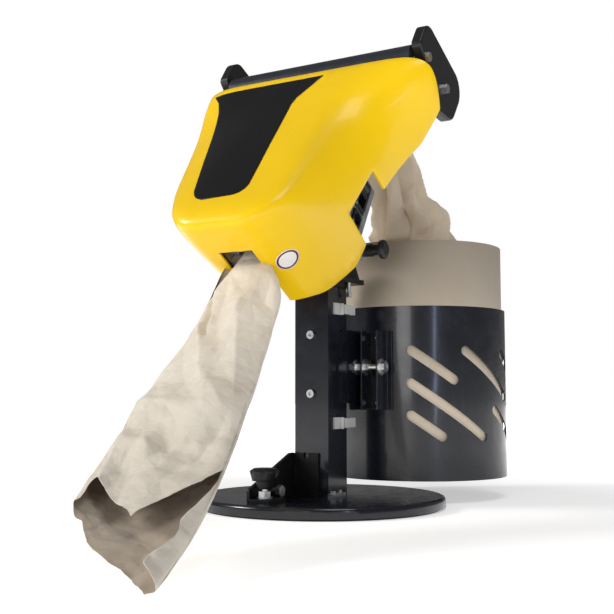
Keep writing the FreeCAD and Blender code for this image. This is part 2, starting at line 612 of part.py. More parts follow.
def hood_block(inset):
    """The hood's outer skin moved inwards by inset, closed across the back into a solid."""
    opening = size("hood_back") + 4 * inset
    grid = []
    for number, (level, front, left, right) in enumerate(HOOD_ROWS):
        if number < 2:
            level += inset
        elif number == len(HOOD_ROWS) - 1:
            level += 4 * inset
        row = []
        for sense, (crease, shoulder, flank, rim) in ((-1, left), (1, right)):
            half = [(crease / 2, front + inset), (crease - inset / 2, front + inset),
                    (shoulder[0] - inset, shoulder[1] + inset / 2), (flank[0] - inset, flank[1]),
                    (rim - inset, opening)]
            row.append([Vector(sense * across, back, level) for across, back in half])
        grid.append(row[0][::-1] + [Vector(0, front + inset, level)] + row[1])
    row_knots, row_mults = uniform_knots(len(grid), 3)
    column_knots, column_mults = uniform_knots(len(grid[0]), 3)
    skin = Part.BSplineSurface()
    skin.buildFromPolesMultsKnots(grid, row_mults, column_mults, row_knots, column_knots,
                                  False, False, 3, 3)
    corners = (grid[0][0], grid[0][-1], grid[-1][-1], grid[-1][0])
    back_lines = [Part.makeLine(start, end)
                  for start, end in zip(corners, corners[1:] + corners[:1])]
    bottom = skin.uIso(row_knots[0]).toShape()
    top = skin.uIso(row_knots[-1]).toShape()
    rims = [skin.vIso(knot).toShape() for knot in (column_knots[0], column_knots[-1])]
    faces = [skin.toShape(), Part.Face(Part.Wire([bottom, back_lines[0]])),
             Part.Face(Part.Wire([top, back_lines[2]])),
             Part.Face(Part.Wire([back_lines[0], rims[1], back_lines[2], rims[0]]))]
    shell = Part.Shell(faces)
    shell.sewShape()
    solid = Part.Solid(shell)
    if solid.Volume < 0:
        solid.reverse()
    return solid


# Side view of the hood: a top edge that drops beside the rollers, a straight rear edge, the notch that shows the connectors, and the
# curved lower rim that ends at the exit face.
HOOD_SIDE = [(-300, 241, 0), (-181, 228, 14), (-99, 190, 7), (-78.5, 140, 20), (-78.5, 52, 2),
             (-121.5, 52, 2), (-121.5, -29, 2), (-45.5, -26, 2), (-37, -60, 30), (-56, -120, 60),
             (-90, -162, 20), (-300, -162, 0)]
side_wire = Part.Wire([curve.toShape() for curve in rounded(HOOD_SIDE)])
side_prism = Part.Face(side_wire).extrude(Vector(0, 0, 460))
side_prism.Placement = Placement(Vector(-230, 0, 0),
                                 Rotation(Vector(0, 1, 0), Vector(0, 0, 1), Vector(1, 0, 0), "XYZ"))
exit_slot = Part.makeBox(2 * size("slot_half"), -size("slot_front"), 14,
                         Vector(-size("slot_half"), size("slot_front"), -160))
hood = doc.addObject("Part::Feature", "hood_skin")
hood.Shape = hood_block(0).cut(hood_block(size("hood_wall"))).common(side_prism).cut(exit_slot)
sub_part("hood", hood, place=HEAD)

# ---------------------------------------------------------------- connector panel

panel_outline = [(-128, -12, 3), (-36.5, -12, 3), (-36.5, 90, 3), (-100, 90, 3), (-100, 58, 3),
                 (-128, 58, 3)]
socket_bore = 12
panel_sheet = plate("panel_sheet", "YZ", rounded(panel_outline), "panel_thick",
                    Vector(size("panel_start"), 0, 0),
                    holes=[(size("socket_back"), size("socket_level"), socket_bore)])
inlet_window = box("panel_window", ("panel_start-1", "inlet_back-13.5", "inlet_level-23.5"),
                   ("panel_start+4", "inlet_back+13.5", "inlet_level+23.5"))
sub_part("panel_plate", cut("panel_cut", panel_sheet, inlet_window), place=HEAD)

inlet_body = box("inlet_body", (62, "inlet_back-13.5", "inlet_level-23.5"),
                 ("panel_start+panel_thick", "inlet_back+13.5", "inlet_level+23.5"))
inlet_flange = box("inlet_flange", ("panel_start+panel_thick", "inlet_back-16", "inlet_level-28"),
                   ("panel_start+panel_thick+3", "inlet_back+16", "inlet_level+28"))
inlet_recess = box("inlet_recess", (70, "inlet_back-10", "inlet_level-21"),
                   (100, "inlet_back+10", "inlet_level-1"))
switch_well = box("switch_well", (70, "inlet_back-11", "inlet_level+4"),
                  (100, "inlet_back+11", "inlet_level+20"))
pins = [box("inlet_pin_%d" % number, (68, back - 1, level - 2.5), (81, back + 1, level + 2.5))
        for number, (back, level) in enumerate(((-73.5, 43), (-60.5, 43), (-67, 49)))]
sub_part("mains_inlet", join("mains_inlet_joined",
                             cut("inlet_hollow", join("inlet_blank", inlet_body, inlet_flange),
                                 inlet_recess, switch_well), *pins), place=HEAD)

rocker_level = size("inlet_level") + 12
rocker = plate("rocker", "XZ", rounded([(78, rocker_level - 6.5, 1), (88.5, rocker_level - 6.5, 1.5),
                                        (86.5, rocker_level, 6), (90.5, rocker_level + 6.5, 1.5),
                                        (78, rocker_level + 6.5, 1)]), 20,
               Vector(0, size("inlet_back") + 10, 0))
sub_part("power_switch", rocker, place=HEAD)

socket_at = ("socket_back", "socket_level")
socket_flange = box("socket_flange", ("panel_start+panel_thick", "socket_back-13", "socket_level-13"),
                    ("panel_start+panel_thick+3", "socket_back+13", "socket_level+13"))
socket_blank = join("socket_blank", socket_flange,
                    rod("socket_barrel", "X", socket_bore, (67, *socket_at), 21.5))
socket_pins = [rod("socket_pin_%d" % turn, "X", 1.6,
                   (70, "socket_back+5*%.6f" % math.cos(math.radians(turn)),
                    "socket_level+5*%.6f" % math.sin(math.radians(turn))), 13)
               for turn in (90, 210, 330)]
sub_part("signal_socket", join("signal_socket_joined", cut(
    "socket_hollow", socket_blank, rod("socket_recess", "X", 9.5, (73, *socket_at), 20)),
    *socket_pins), place=HEAD)

screw_spots = [(-53.5, 82), (-53.5, 30), (-80.5, 82), (-80.5, 30), (-55, 19.5), (-76, -1.5),
               (-124.5, 50), (-124.5, 2)]
sub_part("panel_screws", *[rod("panel_screw_%d" % number, "X", 2.2,
                               ("panel_start+panel_thick+3", back, level), 1.6)
                           for number, (back, level) in enumerate(screw_spots[:6])],
         *[piece for number, (back, level) in enumerate(screw_spots[6:], start=6) for piece in (
             rod("panel_screw_%d" % number, "X", 2.6, ("panel_start+panel_thick", back, level), 2),
             rod("panel_post_%d" % number, "X", 4, ("chassis_inner+chassis_thick", back, level),
                 "panel_start-chassis_inner-chassis_thick"))], place=HEAD)

# ---------------------------------------------------------------- exit cutters and paper

def toothed_strip(sense):
    """Outline of a thin blade whose teeth point to the middle of the exit slot."""
    pitch, tooth_depth, root_across = 4, 3, 27
    first, count = -198, 14
    points = [(sense * 34, first, 0)]
    for tooth in range(count):
        start = first + tooth * pitch
        points += [(sense * root_across, start, 0),
                   (sense * (root_across - tooth_depth), start + pitch / 2, 0)]
    points += [(sense * root_across, first + count * pitch, 0), (sense * 34, first + count * pitch, 0)]
    return points


sub_part("exit_cutters", *[plate("exit_cutter_%s" % side, "XY", rounded(toothed_strip(sense)), 1,
                                 Vector(0, 0, -149.5))
                           for side, sense in (("left", -1), ("right", 1))], place=HEAD)


def paper_skin(sections):
    """A closed body through flattened oval sections: centre, half-width and half-depth
    directions with their lengths."""
    ring_poles, degree = 12, 3
    grid = []
    for centre, across, half_across, depth, half_depth in sections:
        grid.append([centre + across * (half_across * math.cos(step * 2 * math.pi / ring_poles))
                     + depth * (half_depth * math.sin(step * 2 * math.pi / ring_poles))
                     for step in range(ring_poles)])
    run_knots, run_mults = uniform_knots(len(grid), degree)
    ring_knots = list(range(ring_poles + 1))
    skin = Part.BSplineSurface()
    skin.buildFromPolesMultsKnots(grid, run_mults, [1] * len(ring_knots), run_knots, ring_knots,
                                  False, True, degree, degree)
    ends = [Part.Face(Part.Wire([skin.uIso(knot).toShape()])) for knot in (0, run_knots[-1])]
    shell = Part.Shell([skin.toShape()] + ends)
    shell.sewShape()
    solid = Part.Solid(shell)
    if solid.Volume < 0:
        solid.reverse()
    return solid


# The crumpled tube of paper that hangs out of the exit slot, widening to its torn end.
# Each section's centre, half-width and half-depth, from the slot down to the torn end.
STRIP = [(0, -193.6, 350.5, 22, 5), (4, -202, 338, 25, 8), (16, -226, 310, 52, 16),
         (20, -296, 235, 72, 20), (42, -390, 157, 84, 22), (80, -497, 94, 92, 22),
         (122, -585, 60, 94, 18), (166, -668, 37, 84, 11)]
strip_sections = []
for number, (along, ahead, level, half_across, half_depth) in enumerate(STRIP):
    share = number / (len(STRIP) - 1)
    turn_out = math.radians(-13 * share)
    across = Vector(math.cos(turn_out), math.sin(turn_out), -0.2 * share).normalize()
    first = Vector(*STRIP[max(number - 1, 0)][:3])
    last = Vector(*STRIP[min(number + 1, len(STRIP) - 1)][:3])
    depth = across.cross(last - first).normalize()
    strip_sections.append((Vector(along, ahead, level), across, half_across, depth, half_depth))
strip = doc.addObject("Part::Feature", "strip_body")
strip.Shape = paper_skin(strip_sections)
sub_part("paper_strip", strip)

# The twisted column of paper drawn out of the roll's core, up towards the rollers.
FEED = [(400, 60, 240, 44, 40), (436, 62, 238, 58, 44), (472, 62, 228, 78, 38),
        (506, 58, 214, 88, 32), (538, 47, 196, 56, 24), (568, 40, 172, 42, 18)]
feed_sections = [(Vector(along, back, level), Vector(1, 0, 0), half_across, Vector(0, 1, 0), half_depth)
                 for level, along, back, half_across, half_depth in FEED]
feed = doc.addObject("Part::Feature", "feed_body")
feed.Shape = paper_skin(feed_sections)
sub_part("paper_feed", feed)

# ---------------------------------------------------------------- check and export

doc.recompute()
problems = []
for obj in doc.Objects:
    if "Invalid" in obj.State or "Error" in obj.State:
        problems.append("%s is %s" % (obj.Name, obj.State))
for obj in NODES:
    if obj.Shape.isNull() or not obj.Shape.isValid():
        problems.append("%s has no valid shape" % obj.Label)
if problems:
    raise RuntimeError("; ".join(problems))
os.makedirs("parts", exist_ok=True)
for obj in NODES:
    obj.Shape.exportStep("parts/%s.step" % obj.Label)
print("%d sub-parts written" % len(NODES))
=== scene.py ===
import json
import math
import random

import bmesh
import bpy
import numpy as np
from mathutils import Matrix, Vector
from mathutils.bvhtree import BVHTree


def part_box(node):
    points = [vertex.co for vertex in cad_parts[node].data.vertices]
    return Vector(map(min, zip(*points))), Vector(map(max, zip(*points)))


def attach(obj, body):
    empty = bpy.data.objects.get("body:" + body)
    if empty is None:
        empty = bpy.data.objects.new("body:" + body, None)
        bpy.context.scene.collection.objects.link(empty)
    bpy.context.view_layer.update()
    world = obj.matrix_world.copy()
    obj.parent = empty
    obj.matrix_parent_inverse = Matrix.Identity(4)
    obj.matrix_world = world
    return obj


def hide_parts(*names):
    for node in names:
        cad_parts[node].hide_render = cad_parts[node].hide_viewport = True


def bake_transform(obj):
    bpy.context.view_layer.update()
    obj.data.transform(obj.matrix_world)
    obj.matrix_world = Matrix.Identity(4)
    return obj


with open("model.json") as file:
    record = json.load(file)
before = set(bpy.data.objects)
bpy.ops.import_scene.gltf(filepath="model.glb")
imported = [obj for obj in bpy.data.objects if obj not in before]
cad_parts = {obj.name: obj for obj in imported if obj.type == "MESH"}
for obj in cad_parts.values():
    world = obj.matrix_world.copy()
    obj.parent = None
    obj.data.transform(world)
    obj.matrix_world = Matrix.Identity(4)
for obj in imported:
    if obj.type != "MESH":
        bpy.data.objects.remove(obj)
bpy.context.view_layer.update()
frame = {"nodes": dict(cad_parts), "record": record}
nodes = frame["nodes"]
scene = bpy.context.scene

# All sizes are in metres, in the frame's own axes: x to the right, y to the back, z up.
# The head's own frame has its origin on the tilt pin and leans back from upright.
TILT_PIN = (0, 0.010, 0.402)
HEAD_LEAN = math.radians(-31)
HEAD = Matrix.Translation(TILT_PIN) @ Matrix.Rotation(HEAD_LEAN, 4, "X")

PAPER_THICKNESS = 0.0004
FILM_THICKNESS = 0.0003         # label and sticker
FILM_LIFT = 0.0004              # their distance from the hood's skin


# ---------------------------------------------------------------- material helpers

class Nodes:
    """Short ways to add shader nodes to one material. Noise scales are per metre."""

    def __init__(self, name):
        self.material = bpy.data.materials.new(name)
        self.material.use_nodes = True
        self.tree = self.material.node_tree
        self.shader = self.tree.nodes["Principled BSDF"]
        self.place = self.add("ShaderNodeTexCoord").outputs["Object"]

    def add(self, kind, **settings):
        node = self.tree.nodes.new(kind)
        for key, value in settings.items():
            setattr(node, key, value)
        return node

    def link(self, source, target):
        self.tree.links.new(source, target)

    def stretched(self, scale):
        mapping = self.add("ShaderNodeMapping")
        mapping.inputs["Scale"].default_value = scale
        self.link(self.place, mapping.inputs["Vector"])
        return mapping.outputs["Vector"]

    def noise(self, scale, detail=3.0, roughness=0.55, vector=None):
        node = self.add("ShaderNodeTexNoise")
        node.inputs["Scale"].default_value = scale
        node.inputs["Detail"].default_value = detail
        node.inputs["Roughness"].default_value = roughness
        self.link(vector or self.place, node.inputs["Vector"])
        return node.outputs["Fac"]

    def span(self, value, low, high, to_low, to_high):
        node = self.add("ShaderNodeMapRange")
        self.link(value, node.inputs["Value"])
        for key, number in zip(("From Min", "From Max", "To Min", "To Max"),
                               (low, high, to_low, to_high)):
            node.inputs[key].default_value = number
        return node.outputs["Result"]

    def blend(self, share, first, second):
        node = self.add("ShaderNodeMix", data_type="RGBA")
        self.link(share, node.inputs["Factor"])
        for socket, colour in ((node.inputs["A"], first), (node.inputs["B"], second)):
            if isinstance(colour, tuple):
                socket.default_value = (*colour, 1)
            else:
                self.link(colour, socket)
        return node.outputs["Result"]

    def add_up(self, *values):
        total = values[0]
        for value in values[1:]:
            node = self.add("ShaderNodeMath", operation="ADD")
            self.link(total, node.inputs[0])
            self.link(value, node.inputs[1])
            total = node.outputs["Value"]
        return total

    def bump(self, height, strength, distance):
        node = self.add("ShaderNodeBump")
        node.inputs["Strength"].default_value = strength
        node.inputs["Distance"].default_value = distance
        self.link(height, node.inputs["Height"])
        self.link(node.outputs["Normal"], self.shader.inputs["Normal"])

    def set(self, **values):
        for key, value in values.items():
            self.shader.inputs[key.replace("_", " ")].default_value = value


def shade(colour, factor):
    return tuple(min(1.0, part * factor) for part in colour)


def coated(name, colour, rough, coat=0.0, peel=0.00004, gloss=0.4, vary=0.12, peel_scale=420):
    """Paint, powder coat or plastic: a faint mottle, worn-in roughness and a fine skin that is
    peel metres deep."""
    made = Nodes(name)
    made.set(Specular_IOR_Level=gloss, Coat_Weight=coat, Coat_Roughness=0.08)
    cloud = made.noise(14, 4)
    made.link(made.blend(made.span(cloud, 0.3, 0.7, 0, 1), shade(colour, 1 - vary),
                         shade(colour, 1 + vary)), made.shader.inputs["Base Color"])
    smear = made.noise(38, 5, 0.65)
    made.link(made.span(smear, 0.3, 0.75, rough * 0.8, rough * 1.3),
              made.shader.inputs["Roughness"])
    made.bump(made.noise(peel_scale, 2), 0.5, peel)
    return made.material


def metal(name, colour, rough, grain=(4, 240, 240), strength=0.00003):
    """Bare or plated steel with a fine drawn grain and cloudy plating."""
    made = Nodes(name)
    made.set(Metallic=1.0)
    lines = made.noise(6, 3, vector=made.stretched(grain))
    cloud = made.noise(60, 3)
    made.link(made.blend(made.span(cloud, 0.3, 0.7, 0, 1), shade(colour, 0.8), shade(colour, 1.1)),
              made.shader.inputs["Base Color"])
    made.link(made.span(lines, 0.3, 0.7, rough * 0.75, rough * 1.35),
              made.shader.inputs["Roughness"])
    made.bump(lines, 0.5, strength)
    return made.material


def kraft(name, light, dark, creases=0.0):
    """Kraft paper: cloudy tint, short fibres and specks, and where it was crumpled, small flat
    facets between sharp creases."""
    made = Nodes(name)
    made.set(Specular_IOR_Level=0.25, Sheen_Weight=0.12, Sheen_Roughness=0.6)
    cloud = made.noise(9, 5, 0.6)
    fibres = made.noise(900, 4, 0.7, made.stretched((1, 1, 0.25)))
    tint = made.blend(made.span(cloud, 0.35, 0.68, 0, 1), dark, light)
    speck = made.span(made.noise(620, 2), 0.66, 0.72, 0, 0.35)
    made.link(made.blend(speck, tint, shade(dark, 0.62)), made.shader.inputs["Base Color"])
    made.link(made.span(fibres, 0.3, 0.7, 0.72, 0.9), made.shader.inputs["Roughness"])
    heights = [made.span(fibres, 0, 1, 0, 0.00004)]
    if creases:
        for scale, depth in ((10, 0.010), (23, 0.0045), (52, 0.0012)):
            facets = made.add("ShaderNodeTexVoronoi", feature="DISTANCE_TO_EDGE")
            facets.inputs["Scale"].default_value = scale
            made.link(made.place, facets.inputs["Vector"])
            heights.append(made.span(facets.outputs["Distance"], 0, 1, 0, depth * creases))
    made.bump(made.add_up(*heights), 1.0, 1.0)
    return made.material


# ---------------------------------------------------------------- materials

PAPER_LIGHT, PAPER_DARK = (0.75, 0.68, 0.575), (0.69, 0.615, 0.505)
materials = {
    "black_gloss": coated("black_gloss_paint", (0.006, 0.007, 0.012), 0.24, coat=0.3,
                          peel=0.00001),
    "black_satin": coated("black_satin_paint", (0.007, 0.007, 0.008), 0.40, peel=0.00006,
                          gloss=0.3),
    "hood_yellow": coated("hood_yellow_gloss", (0.87, 0.555, 0.003), 0.34, coat=0.16, vary=0.02,
                          peel=0.00005, peel_scale=150, gloss=0.25),
    "zinc": metal("zinc_plated", (0.66, 0.67, 0.68), 0.3),
    "bright_steel": metal("bright_steel", (0.74, 0.74, 0.75), 0.16),
    "galvanised": metal("galvanised_sheet", (0.50, 0.52, 0.54), 0.38, grain=(30, 30, 30)),
    "black_plastic": coated("black_moulded_plastic", (0.007, 0.007, 0.008), 0.38, peel=0.00008,
                            peel_scale=700),
    "grey_plastic": coated("grey_moulded_plastic", (0.56, 0.56, 0.54), 0.45, peel=0.00006),
    "rubber": coated("black_rubber", (0.018, 0.018, 0.018), 0.75, peel=0.0001, peel_scale=900),
    "roller_grey": coated("roller_sleeve", (0.018, 0.020, 0.026), 0.34, peel=0.00005),
    "kraft_paper": kraft("kraft_paper", PAPER_LIGHT, PAPER_DARK),
    "crumpled_paper": kraft("crumpled_paper", PAPER_LIGHT, PAPER_DARK, creases=1.0),
    # darker copy of the paper for the tube's inner face: painted shade inside the tube
    "shaded_inner_paper": kraft("shaded_inner_paper", (0.50, 0.415, 0.32), (0.44, 0.36, 0.27), creases=1.0),
    # darker copy of the paper for the column: painted shade from the head above it
    "shaded_drawn_paper": kraft("shaded_drawn_paper", (0.62, 0.53, 0.41), (0.55, 0.465, 0.355), creases=1.2),
    # lighter copy of the paper for the roll: painted light
    "lit_wound_paper": kraft("lit_wound_paper", (0.88, 0.76, 0.60), (0.83, 0.70, 0.54)),
    "gear_nylon": coated("gear_nylon", (0.74, 0.73, 0.68), 0.5, peel=0.00003),
    "brass": metal("brass_gear", (0.78, 0.58, 0.28), 0.28),
    "board_green": coated("circuit_board_green", (0.02, 0.16, 0.06), 0.35, coat=0.3),
}
slot_of = {row["node"]: row["material_slot"] for row in frame["record"]["subparts"]}
for name, obj in nodes.items():
    obj.data.materials.clear()
    obj.data.materials.append(materials[slot_of[name]])


# ---------------------------------------------------------------- softened edges

BEVELS = {"post_cap_plate": 0.001, "swivel_plate": 0.001, "yoke_block": 0.0015,
          "drum_bracket": 0.0008, "drum_mount": 0.0006, "foot_gusset": 0.0008,
          "foot_front_plate": 0.0006, "cable_clips": 0.0009, "cable_clip_hinges": 0.0006,
          "hood": 0.0008, "base_plate": 0.0006, "bracket_bolts": 0.0005,
          "drum_clamp_bolt": 0.0005, "foot_stud": 0.0005, "cap_bolts": 0.0006,
          "mains_inlet": 0.0005, "signal_socket": 0.0005, "panel_plate": 0.0003,
          "tilt_knob": 0.0012, "foot_knob": 0.0015, "tilt_pin": 0.0005}
SHARP_ANGLE = math.radians(38)
for name, width in BEVELS.items():
    weld = nodes[name].modifiers.new("weld", "WELD")
    weld.merge_threshold = 0.00001
    bevel = nodes[name].modifiers.new("bevel", "BEVEL")
    bevel.width = width
    bevel.segments = 2
    bevel.limit_method = "ANGLE"
    bevel.angle_limit = SHARP_ANGLE
    bevel.use_clamp_overlap = True
    bevel.harden_normals = True


# ---------------------------------------------------------------- mesh helpers

def mesh_piece(name, points, faces, material, body=None):
    mesh = bpy.data.meshes.new(name)
    mesh.from_pydata([tuple(point) for point in points], [], faces)
    mesh.update()
    mesh.polygons.foreach_set("use_smooth", [True] * len(mesh.polygons))
    mesh.materials.append(material)
    obj = bpy.data.objects.new(name, mesh)
    scene.collection.objects.link(obj)
    if body:
        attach(obj, body)
    return obj


def grid_faces(rows, columns, closed=False, keep=None):
    """Quads of a grid of points; keep(row, column) may leave some out."""
    faces = []
    for row in range(rows - 1):
        for column in range(columns if closed else columns - 1):
            if keep is None or keep(row, column):
                after = (column + 1) % columns
                faces.append((row * columns + column, row * columns + after,
                              (row + 1) * columns + after, (row + 1) * columns + column))
    return faces


def wrap_faces(rows, columns):
    """Quads of a ring-shaped body: closed both round the axis and through its last row."""
    return [(row * columns + column, row * columns + (column + 1) % columns,
             (row + 1) % rows * columns + (column + 1) % columns,
             (row + 1) % rows * columns + column)
            for row in range(rows) for column in range(columns)]


def thicken(obj, thickness, offset=0.0):
    """Give a sheet its thickness: half to each side, or with offset 1 all of it outwards."""
    solid = obj.modifiers.new("thickness", "SOLIDIFY")
    solid.thickness = thickness
    solid.offset = offset
    return solid


def edit_mesh(obj, change):
    """Let change(work) edit the object's mesh."""
    work = bmesh.new()
    work.from_mesh(obj.data)
    change(work)
    work.to_mesh(obj.data)
    work.free()


def drop_loose(work):
    """Remove points that no face uses."""
    bmesh.ops.delete(work, geom=[v for v in work.verts if not v.link_faces], context="VERTS")


def join_same(work):
    """Join points that lie in the same place."""
    bmesh.ops.remove_doubles(work, verts=work.verts, dist=0.000001)


def along(keys, places):
    """Values between straight (place, value) keys, at the places asked for."""
    return np.interp(places, *zip(*keys))


def crumple(across, down, seed, levels, hold=0.35):
    """Height of a creased sheet at flat places: straight folds, each fading in and out over the
    sheet, so that the facets between them stay flat. A level is (pitch, depth, count), and hold
    is how much of a fold never fades."""
    draw = random.Random(seed)
    height = np.zeros_like(across)
    for pitch, depth, count in levels:
        for _ in range(count):
            turn = draw.uniform(0, math.pi)
            place = (across * math.cos(turn) + down * math.sin(turn)) / pitch + draw.random()
            fold = np.abs((place % 1) - 0.5) * 4 - 1
            fade_turn = draw.uniform(0, math.pi)
            fade = np.sin((across * math.cos(fade_turn) + down * math.sin(fade_turn))
                          / pitch * 2.1 + draw.uniform(0, 6.28))
            height += depth / math.sqrt(count) * fold * np.clip(0.9 * fade + hold, 0, 1)
    return height


def smooth_curve(keys, places):
    """Values of a smooth (cubic Hermite) curve through (place, value...) keys, at the places
    asked for."""
    keys = np.array(keys, float)
    at = keys[:, 0]
    out = []
    for column in range(1, keys.shape[1]):
        values = keys[:, column]
        slopes = np.gradient(values, at)
        index = np.clip(np.searchsorted(at, places) - 1, 0, len(at) - 2)
        width = at[index + 1] - at[index]
        share = np.clip((places - at[index]) / width, 0, 1)
        cube, square = share ** 3, share ** 2
        out.append((2 * cube - 3 * square + 1) * values[index]
                   + (cube - 2 * square + share) * width * slopes[index]
                   + (3 * square - 2 * cube) * values[index + 1]
                   + (cube - square) * width * slopes[index + 1])
    return np.stack(out, axis=-1)


# ---------------------------------------------------------------- hood label and sticker

hood_mesh = nodes["hood"].data
hood_tree = BVHTree.FromPolygons([v.co for v in hood_mesh.vertices],
                                 [p.vertices for p in hood_mesh.polygons])


def on_hood(start, direction):
    """The first point of the hood's skin from start along direction, lifted off it."""
    spot = hood_tree.ray_cast(start, direction)[0]
    return spot - direction * FILM_LIFT


# Left and right edge of the black field, in the head's frame: (level, place across).
LABEL_LEFT = [(-0.098, -0.046), (-0.0955, -0.053), (-0.091, -0.060), (-0.083, -0.067),
              (-0.073, -0.0728), (0.018, -0.1048), (0.105, -0.1345), (0.160, -0.153),
              (0.190, -0.167), (0.213, -0.186)]
LABEL_RIGHT = [(-0.098, -0.043), (-0.0955, 0.004), (-0.091, 0.0145), (-0.083, 0.021),
               (-0.073, 0.023), (0.029, 0.0105), (0.138, -0.0015), (0.158, 0.001),
               (0.172, 0.008), (0.213, 0.028)]
AHEAD_OF_HOOD = -0.4


def hood_label():
    """A plain dark decal on the sloping front: straight at the top, narrowing to a round foot."""
    rows, columns = 90, 40
    levels = np.linspace(LABEL_LEFT[0][0], LABEL_LEFT[-1][0], rows)
    backward = (HEAD.to_3x3() @ Vector((0, 1, 0))).normalized()
    points = []
    for level, start, end in zip(levels, along(LABEL_LEFT, levels), along(LABEL_RIGHT, levels)):
        for share in np.linspace(0, 1, columns):
            origin = HEAD @ Vector((start + (end - start) * share, AHEAD_OF_HOOD, level))
            points.append(on_hood(origin, backward))
    film = coated("label_film", (0.004, 0.004, 0.005), 0.32, peel=0.00001, gloss=0.25)
    label = mesh_piece("hood_label", points, grid_faces(rows, columns), film, "head")
    thicken(label, FILM_THICKNESS, 1.0)


STICKER_PLACE = (0.0638, -0.1609, -0.145)       # in the head's frame
STICKER_OUTWARD = (0.5, -0.39, -0.77)
STICKER_RADII = [0.0, 0.006, 0.0135, 0.0165, 0.018]
DARK_BAND = 2                                   # between the third and the fourth radius


def round_sticker():
    """A plain white disc with a dark ring, where the round sticker is."""
    centre = HEAD @ Vector(STICKER_PLACE)
    outward = Vector(STICKER_OUTWARD).normalized()
    side = outward.cross(Vector((0, 0, 1))).normalized()
    up = side.cross(outward).normalized()
    above = centre + outward * 0.03
    turns = 64
    points = []
    for radius in STICKER_RADII:
        for turn in range(turns):
            angle = 2 * math.pi * turn / turns
            start = above + (side * math.cos(angle) + up * math.sin(angle)) * radius
            points.append(on_hood(start, -outward))
    white = coated("sticker_white", (0.80, 0.78, 0.74), 0.35, peel=0.00001)
    ring = coated("sticker_ring", (0.13, 0.015, 0.012), 0.35, peel=0.00001)
    sticker = mesh_piece("round_sticker", points, grid_faces(len(STICKER_RADII), turns, True),
                         white, "head")
    sticker.data.materials.append(ring)
    for polygon in sticker.data.polygons:
        if polygon.index // turns == DARK_BAND:
            polygon.material_index = 1
    edit_mesh(sticker, join_same)
    thicken(sticker, FILM_THICKNESS, 1.0)


hood_label()
round_sticker()


# ---------------------------------------------------------------- crumpled paper tube

# A place on the tube is (share, across): the share of the way down from the exit slot, and how
# far across the flattened tube, from -1 at its left edge to 1 at its right edge.

# share, centre x y z, half-width, half-depth
TUBE_ROUTE = [(0.00, -0.0060, -0.196, 0.380, 0.0220, 0.0060),
              (0.04, 0.0020, -0.212, 0.354, 0.0410, 0.0120),
              (0.10, 0.0080, -0.224, 0.322, 0.0560, 0.0180),
              (0.22, 0.0145, -0.268, 0.262, 0.0655, 0.0185),
              (0.40, 0.0305, -0.352, 0.188, 0.0815, 0.0180),
              (0.60, 0.0645, -0.462, 0.112, 0.0915, 0.0180),
              (0.80, 0.1080, -0.567, 0.064, 0.0930, 0.0165),
              (1.00, 0.1600, -0.668, 0.038, 0.0850, 0.0130),
              (1.12, 0.1880, -0.719, 0.029, 0.0800, 0.0120)]
TUBE_TURN = math.radians(-13)       # turn of the flat side about z, over the tube's length
TUBE_LEAN = -0.2                    # and its fall to the right
TABLE_GAP = 0.0015                  # the paper's least height above the table

# Sharp folds of the front layer: corners, height and how far the paper leans up to the fold.
TUBE_FOLDS = [
    ([(0.51, -0.9), (0.514, 0.04), (0.489, 0.84)], 0.0127, 0.055),
    ([(0.489, 0.84), (0.579, 0.68), (0.664, 0.49)], -0.0093, 0.032),
    ([(0.566, -0.17), (0.667, 0.19)], -0.0076, 0.030),
    ([(0.667, 0.19), (0.664, 0.49)], 0.0076, 0.026),
    ([(0.566, -0.17), (0.697, -0.39)], 0.0076, 0.030),
    ([(0.51, -0.9), (0.632, -0.74)], 0.0059, 0.030),
    ([(0.24, -0.60), (0.40, 0.05), (0.489, 0.71)], 0.0110, 0.030),
    ([(0.173, 0.2), (0.451, 0.84)], 0.0110, 0.034),
    ([(0.06, 0.93), (0.15, 0.70), (0.17, 0.95)], -0.0085, 0.016),
    ([(0.594, 0.54), (0.569, 0.9)], 0.0059, 0.016),
    ([(0.629, -0.8), (0.82, -0.68)], 0.0059, 0.022),
    ([(0.697, -0.39), (0.877, -0.25)], -0.0076, 0.036),
    ([(0.12, -0.90), (0.268, -0.38)], -0.0085, 0.007)]
# Long folds that run down from the slot: place across, slope, height, share where they fade out.
SLOT_FOLDS = [(0.30, -0.05, 0.006, 0.55), (-0.42, 0.10, -0.005, 0.42), (-0.05, 0.04, 0.004, 0.38)]

# Torn end: (place across, share that the layer reaches).
TORN_FRONT = [(-1, 0.90), (-0.93, 0.91), (-0.87, 0.905), (-0.84, 0.835), (-0.74, 0.815),
              (-0.6, 0.83), (-0.25, 0.868), (0.0, 0.893), (0.12, 0.915), (0.2, 0.882),
              (0.36, 0.822), (0.58, 0.762), (0.81, 0.699), (0.985, 0.632), (1.0, 1.08)]
TORN_BACK = [(-1, 0.905), (-0.9, 0.94), (-0.76, 0.93), (-0.5, 0.992), (-0.35, 1.012),
             (0.0, 1.025), (0.39, 1.035), (0.61, 1.06), (0.83, 1.09), (1.0, 1.08)]
# The open gap where the tube's long edges don't meet: (share, place across where it ends).
OPEN_GAP = [(0, -0.10), (0.02, -0.25), (0.05, -0.45), (0.08, -0.66), (0.11, -0.82),
            (0.135, -0.93), (0.14, -2)]
GAP_START = -0.95
# The side edge turned over to the front beyond the cut: (share, place across of its edge).
TURNED_EDGE = [(0.632, 0.985), (0.70, 0.94), (0.80, 0.84), (0.845, 0.80), (0.90, 0.90),
               (0.93, 0.88), (1.0, 0.78), (1.04, 0.70), (1.085, 0.72)]


